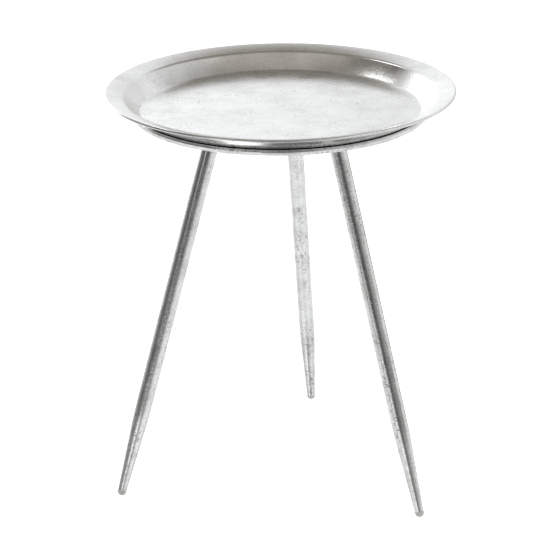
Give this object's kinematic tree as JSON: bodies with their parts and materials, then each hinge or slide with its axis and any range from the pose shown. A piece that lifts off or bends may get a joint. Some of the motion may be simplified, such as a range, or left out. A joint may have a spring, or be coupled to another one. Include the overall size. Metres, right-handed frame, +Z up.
{
  "type": "tray table",
  "caption": "Round side table: a loose silver-leafed metal tray with a flared rim, seated inside a bar ring on splayed legs of tapered tube.",
  "frame": {"origin": "on the floor, under the centre of the tray", "axes": "+Z up along the tray's axis; leg 1 stands towards +Y, the other two are 120 degrees round from it"},
  "size_m": [0.3799, 0.3899, 0.455],
  "materials": {
    "silver_leaf_tray": "silver leaf over spun sheet, antiqued: fine grey mottling and specks, soft gloss",
    "silver_leaf_stand": "silver leaf over steel, antiqued, a little darker and glossier than the tray",
    "bare_steel": "plain zinc-plated steel",
    "felt": "dense dark grey felt",
    "glide_plastic": "grey moulded plastic"
  },
  "bodies": {
    "stand": {"support_disc": "silver_leaf_stand", "seat_ring": "silver_leaf_stand", "seat_pad_1": "felt", "seat_pad_2": "felt", "seat_pad_3": "felt", "mount_plate_1": "silver_leaf_stand", "mount_plate_2": "silver_leaf_stand", "mount_plate_3": "silver_leaf_stand", "plate_rivets": "silver_leaf_stand", "leg_boss_1": "silver_leaf_stand", "leg_boss_2": "silver_leaf_stand", "leg_boss_3": "silver_leaf_stand", "leg_stud_1": "bare_steel", "leg_stud_2": "bare_steel", "leg_stud_3": "bare_steel", "leg_insert_1": "bare_steel", "leg_insert_2": "bare_steel", "leg_insert_3": "bare_steel", "leg_tube_1": "silver_leaf_stand", "leg_tube_2": "silver_leaf_stand", "leg_tube_3": "silver_leaf_stand", "foot_glide_1": "glide_plastic", "foot_glide_2": "glide_plastic", "foot_glide_3": "glide_plastic"},
    "tray": {"tray_shell": "silver_leaf_tray", "tray_lip_wire": "bare_steel"}
  },
  "joints": [
    {"name": "tray_lift", "type": "slide", "parent": "stand", "child": "tray", "axis": [0, 0, 1], "range_m": [0, 0.12]}
  ]
}
